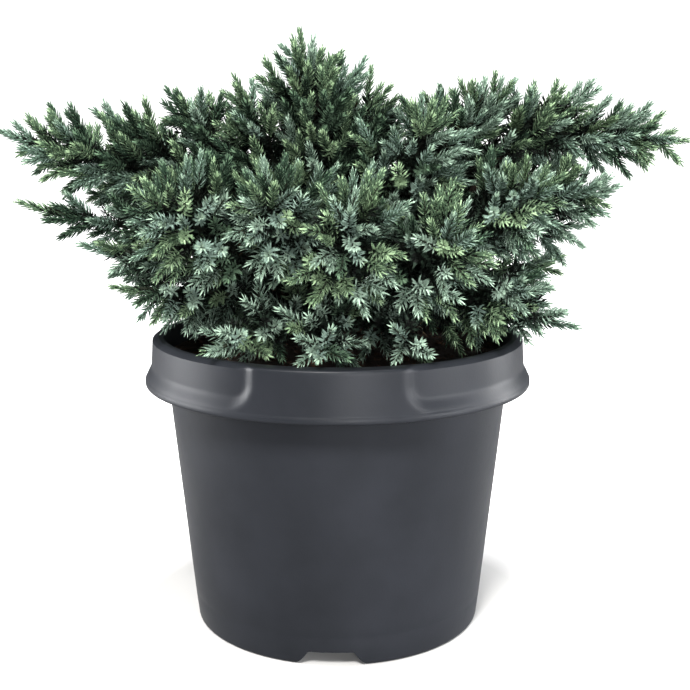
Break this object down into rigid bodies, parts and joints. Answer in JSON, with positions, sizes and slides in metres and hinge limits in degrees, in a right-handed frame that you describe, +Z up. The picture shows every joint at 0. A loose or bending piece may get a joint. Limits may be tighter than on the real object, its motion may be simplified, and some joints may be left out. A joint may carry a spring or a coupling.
{
  "type": "potted juniper",
  "caption": "Bushy blue-green star juniper with spreading needle-covered boughs, standing in a round, tapered, dark grey nursery pot with a folded band.",
  "frame": {"origin": "centre of the pot's flat underside, on the ground", "axes": "+Z up, -Y towards the viewer, +X to the viewer's right"},
  "size_m": [0.401, 0.278, 0.352],
  "materials": {
    "pot": "satin",
    "soil": "rough, damp",
    "bark": "rough",
    "needles": "matt"
  },
  "bodies": {
    "root": {"pot": "pot", "soil": "soil", "trunk": "bark", "mass_crest": "needles", "mass_crest_right": "needles", "bough_upper_left": "bark", "mass_upper_left": "needles", "bough_upper_far_left": "bark", "mass_upper_far_left": "needles", "bough_left_shoulder": "bark", "mass_left_shoulder": "needles", "bough_left_wing": "bark", "mass_left_wing": "needles", "bough_right_inner": "bark", "mass_right_inner": "needles", "bough_right_upper": "bark", "mass_right_upper": "needles", "bough_right_shoulder": "bark", "mass_right_shoulder": "needles", "bough_right_wing": "bark", "mass_right_wing": "needles", "bough_left_lower": "bark", "mass_left_lower": "needles", "bough_left_low": "bark", "mass_left_low": "needles", "bough_left_front": "bark", "mass_left_front": "needles", "mass_front_left": "needles", "mass_front_centre": "needles", "mass_front_right": "needles", "bough_right_front": "bark", "mass_right_front": "needles", "bough_right_lower": "bark", "mass_right_lower": "needles", "bough_right_low": "bark", "mass_right_low": "needles", "mass_low_right": "needles", "bough_low_left": "bark", "mass_low_left": "needles", "mass_rim_left": "needles", "mass_rim_centre": "needles", "mass_rim_right": "needles", "bough_back_left_wing": "bark", "mass_back_left_wing": "needles", "bough_back_left_low": "bark", "mass_back_left_low": "needles", "bough_back_left": "bark", "mass_back_left": "needles", "bough_back_centre": "bark", "mass_back_centre": "needles", "bough_back_right": "bark", "mass_back_right": "needles", "bough_back_right_wing": "bark", "mass_back_right_wing": "needles", "bough_back_right_low": "bark", "mass_back_right_low": "needles", "mass_back_rim_left": "needles", "mass_back_rim_right": "needles", "mass_back_rim": "needles", "mass_crest_back": "needles"}
  },
  "joints": []
}
